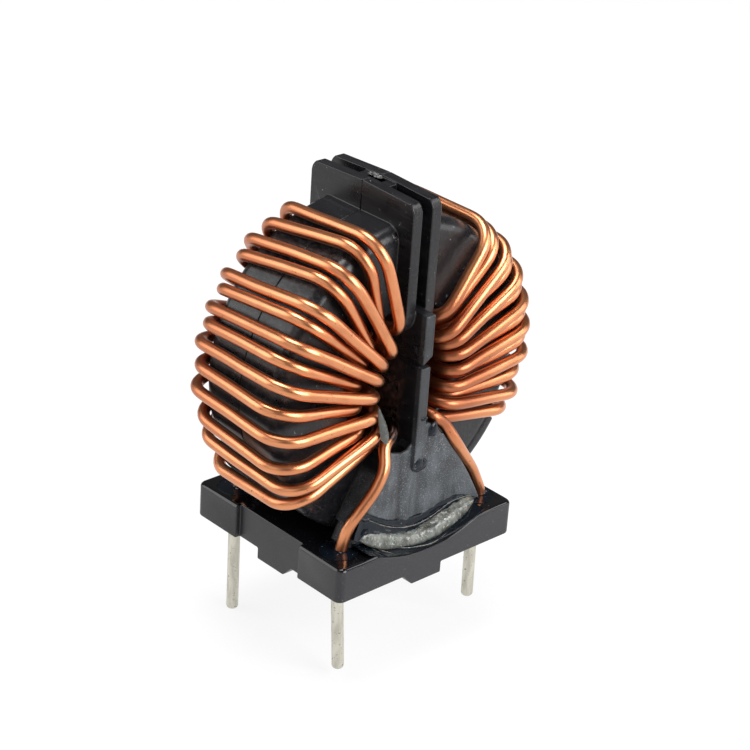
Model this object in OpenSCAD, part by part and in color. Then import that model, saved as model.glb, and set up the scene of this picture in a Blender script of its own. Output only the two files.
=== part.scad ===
// Toroidal common-mode choke: a cased ferrite ring with two hand-laid windings,
// standing upright in the trough of a four-pin base.
//
// Frame: millimetres, Z up. X runs from the left winding to the right one and Y along the
// ring's axis, with the front at -Y. The origin lies on the board, midway between the feet.

/* [Base] */
// Width of the base, left to right
base_w = 24; // [23:0.5:28]
// Depth of the base, front to back
base_d = 22.4; // [21:0.2:26]
// Height of the base above its feet
base_h = 3.8; // [3.4:0.1:5]
// Radius of the upright corners
base_corner_r = 0.8; // [0.3:0.1:1.2]
// Bevel along the top edge
base_bevel = 0.25; // [0.1:0.05:0.5]
// Depth of the recess in the left and right sides
recess_t = 0.6; // [0.3:0.1:0.9]
// Length of the recess in the left and right sides
recess_l = 9.7; // [7:0.1:11]
// Height of the standoff feet
foot_h = 1.25; // [0.8:0.05:2]
// Width of a foot where it meets the board
foot_w = 4; // [3:0.1:5]
// Run of the slope at one end of a foot
foot_slope = 1.2; // [0.5:0.1:1.5]
// Thickness of a foot, inwards from the side of the base
foot_t = 2; // [1.2:0.1:3]

/* [Pins] */
// Spacing of the pins, left to right
pin_pitch_x = 19; // [18:0.5:20]
// Spacing of the pins, front to back
pin_pitch_y = 16; // [15:0.5:17]
// Diameter of a solder-dipped pin
pin_d = 1.27; // [1.26:0.01:1.35]
// Clearance between a pin and its hole in the base
pin_clear = 0.12; // [0.05:0.01:0.2]
// Radius of the funnel that leads a wire into its hole
funnel_r = 1.7; // [1.6:0.05:1.8]
// Length of the straight hole under the funnel
hole_l = 1.4; // [1.2:0.1:1.8]
// Length of the front left pin below the board plane
pin_front_left = 8.85; // [3:0.05:12]
// Length of the back left pin below the board plane
pin_back_left = 9.75; // [3:0.05:12]
// Length of the front right pin below the board plane
pin_front_right = 7.25; // [3:0.05:12]
// Length of the back right pin below the board plane
pin_back_right = 8.15; // [3:0.05:12]

/* [Case] */
// Outside diameter of the case where the windings lie
case_od = 32.6; // [31:0.1:34]
// Diameter of the hole through the case
case_id = 14.6; // [14.4:0.1:15.4]
// Width of the case along the ring's axis
case_w = 11.3; // [10:0.1:12]
// Rounding of the case's outer edges
case_edge_r = 1.5; // [0.8:0.1:1.8]
// Rounding of the case's inner edges
case_lip_r = 0.8; // [0.4:0.1:1]
// Wall thickness of the case
case_wall = 0.9; // [0.8:0.05:1.2]
// Length of the lap joint between the case halves
lap_l = 1.2; // [0.8:0.1:2]
// Clearance in the lap joint and round the core
fit = 0.1; // [0.05:0.01:0.15]

/* [Partitions] */
// Height of the top of the fins above the board
fin_top = 40.1; // [39:0.1:43]
// Thickness of a fin
fin_t = 1.25; // [1:0.05:1.5]
// Gap between the two fins, which is also the thickness of the tongues
fin_gap = 1.25; // [1:0.05:1.5]
// Length of the fins along the ring's axis
fin_l = 14.8; // [14:0.1:16]
// Height of the fins' lower edge above the ring's centre
fin_low = 4.7; // [4:0.1:5.5]
// Radius of the fins' lower corners
fin_foot_r = 3; // [2:0.1:3.5]
// Radius of the fins' upper corners
fin_head_r = 1.5; // [0.8:0.1:2]
// Fall of the fins' top edge from the middle to its ends
fin_draft = 0.3; // [0.1:0.05:0.5]
// Length of the bridge that ties the fins together at the top
bridge_l = 4.5; // [3:0.1:6]
// Length of the hollow in the bridge
hollow_l = 1.8; // [1:0.1:2.4]
// Width of the hollow in the bridge
hollow_w = 0.8; // [0.5:0.05:0.9]
// How far the tongues stand out along the ring's axis, from the middle plane
tongue_out = 9; // [8.6:0.1:9.5]
// Height of the slit between the upper and lower tongues
tongue_slit = 0.3; // [0.2:0.05:0.6]
// Rise of the upper tongue's slanted end
tongue_slant = 0.8; // [0.2:0.1:1.2]
// How far the lower tongue stands to the left of the upper one
tongue_shift = 0.15; // [0.05:0.05:0.25]
// How far the fan stands out along the ring's axis, from the middle plane
fan_out = 8.4; // [8:0.1:8.8]
// Half of the angle that the fan spans
fan_half = 30; // [24:1:34]
// Outer radius of the fan
fan_r = 15.8; // [15:0.1:16.2]

/* [Windings] */
// Diameter of the enamelled wire
wire_d = 1.24; // [1.16:0.02:1.26]
// Turns in each of a winding's two layers
layer_turns = 7; // [5:1:7]
// Radius at the middle of the wire's bends
bend_r = 2; // [1.8:0.05:2.1]
// Radius at the middle of the wide bends over the front of the rim
rim_bend_r = 3; // [2:0.1:3.5]
// How far the bends stand off the case's faces
bend_off = 0.1; // [0.08:0.01:0.4]
// Rise of the second layer over the first one
layer_rise = 1.5; // [1.45:0.01:1.55]
// Clearance between the wire and the case
wire_clear = 0.08; // [0.08:0.01:0.2]
// Distance from the middle plane to the left wire where it enters the base
left_entry = 9.2; // [9:0.1:9.8]
// Distance from the middle plane to the right wire where it enters the base
right_entry = 10.4; // [9.2:0.1:10.5]
// How far the left leads spread away from the fan's flank on their way down
left_spread = 0.2; // [0:0.1:0.8]
// How far the left winding's front bends stand off the rim
left_rim_off = 0.45; // [0.15:0.05:0.6]
// How far the left winding's front bends stand off the face
left_face_off = 0.8; // [0.4:0.05:1]
// How far the right winding's front bends stand off the rim
right_rim_off = 0.15; // [0.15:0.05:0.6]
// How far the right winding's front bends stand off the face
right_face_off = 0.5; // [0.4:0.05:1]
// How far the right leads spread away from the fan's flank on their way down
right_spread = 0.9; // [0:0.1:1.2]

/* [Seat] */
// Thickness of the base under the lowest point of the trough
trough_floor = 2.25; // [1.6:0.05:2.6]
// How far the case's saddle stands out past the outside diameter
saddle_t = 0.6; // [0.4:0.05:0.8]
// Half of the angle that the saddle spans
saddle_half = 57; // [54:1:58]
// Clearance between the saddle and the trough
seat_clear = 0.35; // [0.2:0.01:0.4]
// Width of a glue bead at its middle
glue_w = 2.5; // [1.5:0.1:2.6]
// Height of a glue bead at its middle
glue_h = 1.1; // [0.6:0.05:1.3]

/* [Hidden] */
$fn = 96;

case_r = case_od / 2;
hole_r = case_id / 2;
half_w = case_w / 2;
saddle_r = case_r + saddle_t;
trough_r = saddle_r + seat_clear;
base_top = foot_h + base_h;
ring_z = foot_h + trough_floor + trough_r;   // height of the ring's axis above the board
core_hole_r = hole_r + case_wall;            // radii of the cavity that holds the core
core_rim_r = case_r - case_wall;
cavity_w = half_w - case_wall;               // from the middle plane to the cavity's end wall
lap_t = case_wall / 2;
tongue_split = fin_low / 2;                // height of the slit above the ring's axis
tongue_head = 7.8;                           // top of the upper tongue above the ring's axis
tongue_foot = 9;                             // reach of the lower tongue below the ring's axis
skin = 0.02;                                 // gap between surfaces that are bonded together
pin_top = foot_h;                            // the leads are solder-dipped up to the base's underside
wire_sides = 8;
bend_step = 25;                              // degrees between the rings of a bend

// ---------------------------------------------------------------- shared shapes

// Axes of the ring: X to the right, Y up, Z towards the front, from the ring's centre
module on_ring() {
  translate([0, 0, ring_z]) rotate([90, 0, 0]) children();
}

module rounded_rect(w, d, r) {
  square([w - 2 * r, d], center = true);
  square([w, d - 2 * r], center = true);
  for (x = [-1, 1], y = [-1, 1]) translate([x * (w / 2 - r), y * (d / 2 - r)]) circle(r);
}

// Bar along Y whose section narrows by the bevel on both sides
module bevelled_bar(w, l, bevel) {
  rotate([90, 0, 0]) linear_extrude(l, center = true)
    polygon([[-w / 2, 0], [w / 2, 0], [w / 2 - bevel, bevel], [bevel - w / 2, bevel]]);
}

// Upright block with rounded corners and a bevel round its top
module bevelled_block(w, d, h, r, bevel) {
  linear_extrude(h - bevel) rounded_rect(w, d, r);
  translate([0, 0, h - bevel]) {
    bevelled_bar(w, d - 2 * r, bevel);
    rotate([0, 0, 90]) bevelled_bar(d, w - 2 * r, bevel);
    for (x = [-1, 1], y = [-1, 1])
      translate([x * (w / 2 - r), y * (d / 2 - r), 0]) cylinder(h = bevel, r1 = r, r2 = r - bevel);
  }
}

// Half section of a ring from radius a to radius b, with its far corners rounded
module ring_section(a, b, h, a_round, b_round) {
  mid = (a + b) / 2;
  translate([a, 0]) square([mid - a, h - a_round]);
  translate([mid, 0]) square([b - mid, h - b_round]);
  translate([a + a_round, 0]) square([b - b_round - a - a_round, h]);
  translate([a + a_round, h - a_round]) circle(a_round);
  translate([b - b_round, h - b_round]) circle(b_round);
}

// Flat sector of the ring's plane, centred on straight down
module sector(half, r) {
  far = 2 * r;
  polygon([[0, 0], [-far * sin(half), -far * cos(half)], [0, -far / cos(half)],
           [far * sin(half), -far * cos(half)]]);
}

// ---------------------------------------------------------------- base

// Standoff foot on the front side; its slope faces left
module foot() {
  rotate([90, 0, 0]) linear_extrude(foot_t)
    polygon([[-foot_w / 2, 0], [foot_w / 2, 0], [foot_w / 2, foot_h + trough_floor / 2],
             [-foot_w / 2 - foot_slope, foot_h + trough_floor / 2], [-foot_w / 2 - foot_slope, foot_h]]);
}

module feet() {
  for (turn = [0, 180]) rotate([0, 0, turn]) {
    translate([0, foot_t - base_d / 2, 0]) foot();
    translate([recess_t + foot_t - base_w / 2, 0, 0]) rotate([0, 0, -90]) mirror([1, 0, 0]) foot();
  }
}

// Hole for a lead: straight at the bottom, with a funnel above that guides the wire in
module lead_hole() {
  r = pin_d / 2 + pin_clear;
  cylinder(h = base_top, r = r);
  translate([0, 0, foot_h + hole_l]) cylinder(h = base_h - hole_l, r1 = r, r2 = funnel_r);
  translate([0, 0, base_top]) cylinder(h = base_h, r = funnel_r);
}

module base() {
  color([0.09, 0.09, 0.10]) difference() {
    union() {
      translate([0, 0, foot_h]) bevelled_block(base_w, base_d, base_h, base_corner_r, base_bevel);
      feet();
    }
    for (x = [-1, 1])
      translate([x * (base_w / 2 + recess_t), 0, foot_h + base_h / 2])
        cube([4 * recess_t, recess_l, 2 * base_h], center = true);
    on_ring() cylinder(h = 2 * base_d, r = trough_r, center = true, $fn = 200);
    for (x = [-1, 1], y = [-1, 1]) translate([x * pin_pitch_x / 2, y * pin_pitch_y / 2, 0]) lead_hole();
  }
}

// ---------------------------------------------------------------- case and core

// Front half of a fin seen from the left: X towards the front, Y up from the ring's axis
module fin_profile() {
  half = fin_l / 2;
  low = fin_low;
  high = fin_top - ring_z;
  difference() {
    union() {
      translate([0, low + fin_foot_r]) square([half, high - low - fin_foot_r - fin_head_r]);
      translate([0, low]) square([half - fin_foot_r, 2 * fin_foot_r]);
      translate([half - fin_foot_r, low + fin_foot_r]) circle(fin_foot_r);
      translate([0, high - 2 * fin_head_r]) square([half - fin_head_r, 2 * fin_head_r]);
      translate([half - fin_head_r, high - fin_head_r]) circle(fin_head_r);
    }
    polygon([[0, high], [2 * half, high], [2 * half, high - 2 * fin_draft]]);
  }
}

// Front half of the case, from the ring's middle plane forwards, on the ring's axes
module case_half() {
  difference() {
    union() {
      rotate_extrude() ring_section(hole_r, case_r, half_w, case_lip_r, case_edge_r);
      intersection() {
        rotate_extrude() ring_section(core_rim_r, saddle_r, half_w, case_wall / 4, case_lip_r);
        linear_extrude(half_w) sector(saddle_half, saddle_r);
      }
      fan();
      fins();
      tongues();
    }
    rotate_extrude() translate([core_hole_r, 0]) square([core_rim_r - core_hole_r, cavity_w]);
  }
}

// Spacer below the hole that keeps the windings apart
module fan() {
  root = half_w - case_wall / 2;
  translate([0, 0, root]) linear_extrude(fan_out - root) intersection() {
    difference() {
      circle(fan_r);
      circle(hole_r);
    }
    sector(fan_half, fan_r);
  }
}

// Pair of fins above the hole, tied together at the top by a bridge with a hollow in it
module fins() {
  for (x = [-1, 1]) translate([x * (fin_gap + fin_t) / 2, 0, 0])
    rotate([0, -90, 0]) linear_extrude(fin_t, center = true) fin_profile();
  translate([0, fin_top - ring_z - fin_draft - fin_t, 0]) difference() {
    translate([-fin_gap / 2, 0, 0]) cube([fin_gap, fin_t, bridge_l / 2]);
    translate([-hollow_w / 2, -fin_t, -hollow_l / 2]) cube([hollow_w, 3 * fin_t, hollow_l]);
  }
}

// Upper and lower tongues, which part the hole and meet at a slit; the upper one ends in a slant
module tongues() {
  low = tongue_split + tongue_slit / 2;
  linear_extrude(tongue_out)
    polygon([[-fin_gap / 2, low], [fin_gap / 2, low + tongue_slant], [fin_gap / 2, tongue_head],
             [-fin_gap / 2, tongue_head]]);
  translate([-fin_gap / 2 - tongue_shift, -tongue_foot, 0])
    cube([fin_gap, tongue_foot + tongue_split - tongue_slit / 2, tongue_out]);
}

// Rings of the lap joint: on the front half they stand out, in the back half they are cut
module lap(slack) {
  rotate_extrude() {
    translate([core_rim_r, 0]) square([lap_t + slack, lap_l + slack]);
    translate([core_hole_r - lap_t - slack, 0]) square([lap_t + slack, lap_l + slack]);
  }
}

module case_front() {
  color([0.11, 0.11, 0.12]) on_ring() {
    case_half();
    mirror([0, 0, 1]) lap(0);
  }
}

module case_back() {
  color([0.11, 0.11, 0.12]) on_ring() mirror([0, 0, 1]) difference() {
    case_half();
    lap(fit);
  }
}

module core() {
  color([0.25, 0.25, 0.27]) on_ring() for (flip = [0, 1]) mirror([0, 0, flip])
    rotate_extrude() ring_section(core_hole_r + fit, core_rim_r - fit, cavity_w - fit, 4 * fit, 4 * fit);
}

// ---------------------------------------------------------------- windings
//
// Points of a wire are [x, y, z] with x away from the middle plane to the left, y towards the
// back and z up from the ring's axis. Angles run from the right over the top to the left.

turns = 2 * layer_turns;
wire_r = wire_d / 2;
rim_lift = 0.35;                                    // further stand-off of the second layer's front bends
rim_run = case_r + wire_clear + wire_r;             // radius of the runs over the rim
wall_run = hole_r - wire_clear - wire_r;            // radius of a run that lies on the hole's wall
face_run = half_w + wire_clear + wire_r + bend_off; // distance of the runs over the faces
cross_r = 0.74 * case_r;                            // inside this radius the layers may cross
back_out = face_run + layer_rise + wire_d + wire_clear; // the back lead crosses over the last turn

// First and last turn's angle at the front bends, at the back bends and in the hole
left_arcs = [[110, 213], [112, 214], [114, 239]];
right_arcs = [[124, 206.5], [120, 207], [114, 239]];
// Degrees by which each turn strays from even spacing, as laid by hand, in the same order
left_stray = [[0, -3, -1, -4, -2, -5, -5, -6.5, -6, -5, -3, 1.5, 2.5, 0],
              [0, 1.3, 1, -0.5, -0.5, -3, -4, -6.5, -7.5, -7.5, -6.5, -4, -1, 5],
              [0, 5.5, -2, -1.5, -5, -8.5, -7.5, -8, -6.5, -6, -5, -3.5, -6.5, -0.6]];
right_stray = [[0, 2, 3, 2, 2.5, 2.5, 2, 0.5, -1, -2.5, -3, -2, -0.5, 0],
               [0, 3, 1.5, 1, 1, 0.5, 0, -1, -2, -2.5, -2.5, -2, -1, 2],
               [0, 5, -2, -2, -5, -8, -7, -7, -6, -5.5, -5, -5.5, -6.5, 0]];
// How far each turn stands off the wall of the hole
stand_off = [0, 0.4, 1.8, 0.4, 1.8, 0.4, 2, 0.5, 1.8, 0.5, 1.7, 0, 1.2, 0.1];

function unit(v) = v / norm(v);
function on_face(r, a, y) = [r * cos(a), y, r * sin(a)];
function lay(turn, arc, stray) =
  arc[0] + (arc[1] - arc[0]) * turn / (turns - 1) + stray[turn % len(stray)];
function is_second(turn) = turn % 2 == 0;
function in_hole(turn, arcs, stray, side) =
  on_face(wall_run - stand_off[turn % len(stand_off)], lay(turn, arcs[2], stray[2]),
          side * (face_run + (is_second(turn) ? layer_rise : 0)));

// A turn that reaches the saddle rides on it
function over_rim(a) = a + 3 > 270 - saddle_half ? rim_run + saddle_t : rim_run;

// Run over the back face, the rim and the front face that brings a turn back into the hole
function turn_points(turn, arcs, stray, off, rise) =
  let (a = lay(turn, arcs[0], stray[0]), b = lay(turn, arcs[1], stray[1]))
  [on_face(cross_r, b, face_run + rise), on_face(over_rim(b), b, face_run),
   on_face(over_rim(a) + off[0], a, -face_run - off[1] - (is_second(turn) ? rim_lift : 0)),
   in_hole(turn, arcs, stray, -1)];

// Point beside the fan's flank, r from the ring's centre, off sideways from the flank
function beside_fan(r, off, y) =
  let (a = 270 - fan_half) [r * cos(a) + off * sin(a), y, r * sin(a) - off * cos(a)];

// Lead from the fan's upper corner down to its pin; side is -1 at the front and 1 at the back
function lead_points(side, spread, entry) =
  let (touch = wire_r + 1.5 * wire_clear, pin_y = side * pin_pitch_y / 2,
       out = side < 0 ? -fan_out - 2 * wire_clear : back_out)
  [beside_fan(1.27 * hole_r, touch, out),
   beside_fan(1.67 * hole_r, touch + 0.4 * spread, (out + pin_y) / 2),
   beside_fan(2.05 * hole_r, touch + 0.8 * spread, pin_y),
   [-entry, pin_y, base_top - ring_z],
   [-pin_pitch_x / 2, pin_y, foot_h + hole_l - ring_z],
   [-pin_pitch_x / 2, pin_y, pin_top - wire_r - ring_z]];

// Whole wire: front lead, first layer upwards, second layer downwards, back lead
function wire_route(arcs, stray, off, spread, entry) =
  let (order = concat([for (k = [layer_turns - 1:-1:0]) 2 * k + 1], [for (k = [0:layer_turns - 1]) 2 * k]),
       last = turns - 1, over = face_run + layer_rise, first_r = wall_run - 1.25 * wire_d,
       front = lead_points(-1, spread, entry), end = in_hole(order[last], arcs, stray, 1))
  concat([for (k = [len(front) - 1:-1:0]) front[k]],
         [beside_fan(0.95 * hole_r, wire_r + 3 * wire_clear, wire_r - fan_out),
          on_face(first_r, arcs[2][1], -over - wire_clear), on_face(first_r, arcs[2][1], over),
          on_face(wall_run - wire_clear, arcs[2][1] - 3.5, over)],
         [for (n = [0:last]) let (t = order[n], raised = t > 0 && is_second(t) || t == last)
          each concat(turn_points(t, arcs, stray, off, raised ? layer_rise : 0),
                      n < last ? [in_hole(t, arcs, stray, 1)] : [])],
         [[end[0], back_out, end[2]]], lead_points(1, spread, entry));

// Radius of the bend at a corner: wide at the front of the rim, above the leads
function radius_at(p) =
  p[1] < 0 && p[2] > -0.9 * case_r && norm([p[0], p[2]]) > case_r ? rim_bend_r : bend_r;

// Arc that rounds the corner b between a and c, never using more than 0.45 of either run
function corner(a, b, c) =
  let (u = unit(a - b), v = unit(c - b), half = acos(max(-1, min(1, u * v))) / 2, r = radius_at(b),
       cut = min(r / tan(half), 0.45 * norm(a - b), 0.45 * norm(c - b)), k = cut * tan(half),
       centre = b + unit(u + v) * cut / cos(half), e = unit(b + u * cut - centre),
       swing = 180 - 2 * half, steps = max(1, ceil(swing / bend_step)))
  [for (n = [0:steps]) centre + k * (e * cos(swing * n / steps) - u * sin(swing * n / steps))];

function rounded(route) =
  concat([route[0]],
         [for (n = [1:len(route) - 2]) each corner(route[n - 1], route[n], route[n + 1])],
         [route[len(route) - 1]]);

// Round bar along a path, with rings that turn as little as possible from one to the next
module swept_wire(path, r, sides) {
  count = len(path);
  along = [for (n = [0:count - 1]) unit(path[min(n + 1, count - 1)] - path[max(n - 1, 0)])];
  across = [for (n = 0, v = unit(cross(along[0], [0.3, 1, 0.2])); n < count;
                 n = n + 1, u = along[min(n, count - 1)], v = unit(v - (v * u) * u)) v];
  rings = [for (n = [0:count - 1], k = [0:sides - 1])
           let (p = across[n], q = cross(along[n], p), a = 360 * k / sides)
           path[n] + r * (p * cos(a) + q * sin(a))];
  walls = [for (n = [0:count - 2], k = [0:sides - 1]) let (m = (k + 1) % sides)
           [n * sides + k, (n + 1) * sides + k, (n + 1) * sides + m, n * sides + m]];
  ends = [[for (k = [0:sides - 1]) k], [for (k = [sides - 1:-1:0]) (count - 1) * sides + k]];
  polyhedron(rings, concat(walls, ends));
}

// Winding on the left; the front and back pins reach their lengths below the board
module winding(arcs, stray, off, spread, entry, front_pin, back_pin) {
  route = rounded(wire_route(arcs, stray, off, spread, entry));
  translate([0, 0, ring_z]) swept_wire(route, wire_r, wire_sides);
  for (pin = [[-1, front_pin], [1, back_pin]])
    translate([-pin_pitch_x / 2, pin[0] * pin_pitch_y / 2, -pin[1]])
      cylinder(h = pin_top + pin[1], d = pin_d);
}

module winding_left() {
  color([0.80, 0.45, 0.30])
    winding(left_arcs, left_stray, [left_rim_off, left_face_off], left_spread, left_entry,
            pin_front_left, pin_back_left);
}

module winding_right() {
  color([0.80, 0.45, 0.30]) mirror([1, 0, 0])
    winding(right_arcs, right_stray, [right_rim_off, right_face_off], right_spread, right_entry,
            pin_front_right, pin_back_right);
}

// ---------------------------------------------------------------- glue

// Bead in the trough along the case's foot, highest against the fan and thin at its rim
module glue() {
  span = 30;
  steps = 20;
  edge = 6;
  low = trough_r - skin;
  back = fan_out + skin;
  rings = [for (n = [0:steps], k = [0:edge])
           let (s = 2 * n / steps - 1, swell = sqrt(1 - 0.96 * s * s), w = 90 * k / edge,
                a = 271 + span * s, r = low - glue_h * swell * cos(w))
           [r * cos(a), r * sin(a), back + glue_w * swell * sin(w)]];
  feet = [for (n = [0:steps]) let (a = 271 + span * (2 * n / steps - 1))
          [low * cos(a), low * sin(a), back]];
  row = edge + 1;
  foot = (steps + 1) * row;
  walls = [for (n = [0:steps - 1], k = [0:edge - 1])
           [n * row + k, (n + 1) * row + k, (n + 1) * row + k + 1, n * row + k + 1]];
  rear = [for (n = [0:steps - 1]) [n * row, foot + n, foot + n + 1, (n + 1) * row]];
  sole = [for (n = [0:steps - 1]) [n * row + edge, (n + 1) * row + edge, foot + n + 1, foot + n]];
  caps = [concat([foot], [for (k = [0:edge]) k]),
          concat([foot + steps], [for (k = [edge:-1:0]) steps * row + k])];
  polyhedron(concat(rings, feet), concat(walls, rear, sole, caps));
}

module glue_front() {
  color([0.55, 0.58, 0.58]) on_ring() glue();
}

module glue_back() {
  color([0.55, 0.58, 0.58]) on_ring() mirror([0, 0, 1]) glue();
}

base();
case_front();
case_back();
core();
winding_left();
winding_right();
glue_front();
glue_back();
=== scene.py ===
import math

import bmesh
import bpy
import numpy as np
from bpy.props import FloatProperty, FloatVectorProperty, IntProperty, PointerProperty
from bpy.types import Operator, Panel, PropertyGroup
from mathutils import Matrix, Vector


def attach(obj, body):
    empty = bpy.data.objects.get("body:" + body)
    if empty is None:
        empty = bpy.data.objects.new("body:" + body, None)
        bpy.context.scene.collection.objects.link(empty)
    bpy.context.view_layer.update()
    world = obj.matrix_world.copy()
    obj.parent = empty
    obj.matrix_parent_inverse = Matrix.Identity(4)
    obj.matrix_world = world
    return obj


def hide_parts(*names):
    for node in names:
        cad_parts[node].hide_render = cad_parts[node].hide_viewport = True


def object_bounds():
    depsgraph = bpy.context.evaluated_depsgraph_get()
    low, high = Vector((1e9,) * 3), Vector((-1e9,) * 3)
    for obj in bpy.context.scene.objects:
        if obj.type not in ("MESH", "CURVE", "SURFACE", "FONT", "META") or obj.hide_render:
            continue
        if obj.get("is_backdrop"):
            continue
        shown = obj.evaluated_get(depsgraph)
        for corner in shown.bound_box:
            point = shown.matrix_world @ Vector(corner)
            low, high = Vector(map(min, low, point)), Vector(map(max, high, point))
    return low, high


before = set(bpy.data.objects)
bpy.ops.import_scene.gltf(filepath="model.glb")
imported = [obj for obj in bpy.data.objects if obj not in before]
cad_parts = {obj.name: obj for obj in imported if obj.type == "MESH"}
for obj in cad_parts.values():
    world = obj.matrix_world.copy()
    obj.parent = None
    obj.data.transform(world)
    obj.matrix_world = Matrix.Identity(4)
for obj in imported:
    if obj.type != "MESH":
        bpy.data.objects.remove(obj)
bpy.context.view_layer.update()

bl_info = {
    "name": "Toroidal choke",
    "version": (1, 0, 0),
    "blender": (4, 5, 0),
    "location": "3D View > Sidebar > Choke",
    "description": "Winds and dresses an upright common-mode choke on a moulded four-pin base",
    "category": "Object",
}

MM = 0.001


def linear(code):
    """Linear RGBA of an sRGB colour written as hex."""
    rgb = np.array([int(code[i:i + 2], 16) for i in (1, 3, 5)]) / 255
    low = rgb <= 0.04045
    return (*np.where(low, rgb / 12.92, ((rgb + 0.055) / 1.055) ** 2.4).tolist(), 1.0)


def swatch(name, text, code):
    """Colour property whose default is an sRGB hex colour."""
    return FloatVectorProperty(name=name, description=text, subtype="COLOR", size=4, min=0, max=1,
                               default=linear(code))


def length(name, text, mm, low=0.0):
    """Length property whose default is given in millimetres."""
    return FloatProperty(name=name, description=text, default=mm * MM, min=low * MM, subtype="DISTANCE",
                         unit="LENGTH", precision=5)


# ---------------------------------------------------------------- sizes and colours


class WindingSettings(PropertyGroup):
    wire: length("Wire diameter", "Thickness of the enamelled wire", 1.24)
    bend: length("Bend radius", "Radius at the middle of the wire's bends", 2.0)
    rim_bend: length("Wide bend radius", "Radius at the middle of the bends over the front of the rim", 3.0)
    pin: length("Pin diameter", "Thickness of a solder-dipped end", 1.27)
    sides: IntProperty(name="Sides", description="Faces round the wire", default=20, min=8, max=32)
    enamel: swatch("Enamel", "Colour of the enamelled copper", "#DC9265")
    # the stain colour also paints shade on the turns at the back and in the hole
    stain_and_shade: swatch("Stain", "Colour of the handled and varnished patches", "#9A5234")
    solder: swatch("Solder", "Colour of the dipped ends", "#D2CFC2")


class CaseSettings(PropertyGroup):
    edge: length("Edge rounding", "Rounding of the moulded edges", 0.14)
    plastic: swatch("Case plastic", "Colour of the case", "#131316")
    haze: swatch("Haze", "Colour of the varnish haze on the outer faces", "#45494D")
    scar: swatch("Gate scar", "Colour of the torn plastic at the gate", "#8A8A88")
    ferrite: swatch("Core", "Colour of the sintered core", "#4A4A4C")


class BaseSettings(PropertyGroup):
    edge: length("Edge rounding", "Rounding of the moulded edges", 0.12)
    plastic: swatch("Base plastic", "Colour of the base", "#18181B")


class GlueSettings(PropertyGroup):
    tint: swatch("Adhesive", "Colour of the cured adhesive", "#7C7E78")
    varnish: swatch("Varnish", "Colour of the pooled varnish over black plastic", "#0D131A")


class StageSettings(PropertyGroup):
    lens: FloatProperty(name="Lens", description="Focal length in millimetres", default=107.37)
    distance: length("Camera distance", "From the aim point to the camera", 228.613)


# ---------------------------------------------------------------- materials


def add(tree, kind, sockets=None, **settings):
    """Adds a node, sets its properties, then gives its sockets values or links. A node given as a value
    stands for its first output."""
    node = tree.nodes.new("ShaderNode" + kind)
    for name, value in settings.items():
        setattr(node, name, value)
    for name, value in (sockets or {}).items():
        if isinstance(value, bpy.types.Node):
            value = value.outputs[0]
        if isinstance(value, bpy.types.NodeSocket):
            tree.links.new(value, node.inputs[name])
        else:
            node.inputs[name].default_value = value
    return node


def ramp(tree, value, start, end, low=0.0, high=1.0, **settings):
    """Adds a map of a value that goes from low to high between start and end, and is held beyond them."""
    return add(tree, "MapRange", {"Value": value, "From Min": start, "From Max": end, "To Min": low,
                                  "To Max": high}, **settings)


def noise(tree, place, scale, detail, roughness=0.5, distortion=0.0):
    """Adds a noise of the given scale; three scales, one along each axis, stretch it."""
    if isinstance(scale, tuple):
        place, scale = add(tree, "Mapping", {"Vector": place, "Scale": scale}), 1.0
    return add(tree, "TexNoise", {"Vector": place, "Scale": scale, "Detail": detail,
                                  "Roughness": roughness, "Distortion": distortion})


def blend(tree, share, first, second):
    """Adds a mix of two colours, whose share says how much of the second it takes."""
    return add(tree, "Mix", {0: share, 6: first, 7: second}, data_type="RGBA").outputs[2]


def calc(tree, operation, *values):
    """Adds a Math node that works on up to three values."""
    return add(tree, "Math", dict(enumerate(values)), operation=operation)


def product(tree, first, *others):
    """Adds the Math nodes that multiply values together."""
    for value in others:
        first = calc(tree, "MULTIPLY", first, value)
    return first


def relief(tree, height, strength, distance, normal=None):
    """Adds a bump from a height, over another bump's normal where one is given."""
    under = {} if normal is None else {"Normal": normal}
    return add(tree, "Bump", {"Strength": strength, "Distance": distance, "Height": height, **under})


def surface(tree, sockets):
    """Ends a tree with a principled shader that has the given sockets."""
    add(tree, "OutputMaterial", {"Surface": add(tree, "BsdfPrincipled", sockets)})


def blank(name):
    """New material with an empty tree."""
    material = bpy.data.materials.new(name)
    material.use_nodes = True
    material.node_tree.nodes.clear()
    return material, material.node_tree


def located(name):
    """New material and its tree, with the place on the object, in metres, as its first value."""
    material, tree = blank(name)
    return material, tree, add(tree, "TexCoord").outputs["Object"]


def from_axis(tree, place):
    """Adds nodes for the distance from the ring's axis: sqrt(x^2 + z^2), with z from the ring's middle."""
    centred = add(tree, "VectorMath", {0: place, 1: (0, 0, -RING_Z * MM)}, operation="ADD")
    flat = add(tree, "VectorMath", {0: centred, 1: (1, 0, 1)}, operation="MULTIPLY")
    return add(tree, "VectorMath", {0: flat}, operation="LENGTH").outputs["Value"]


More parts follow.
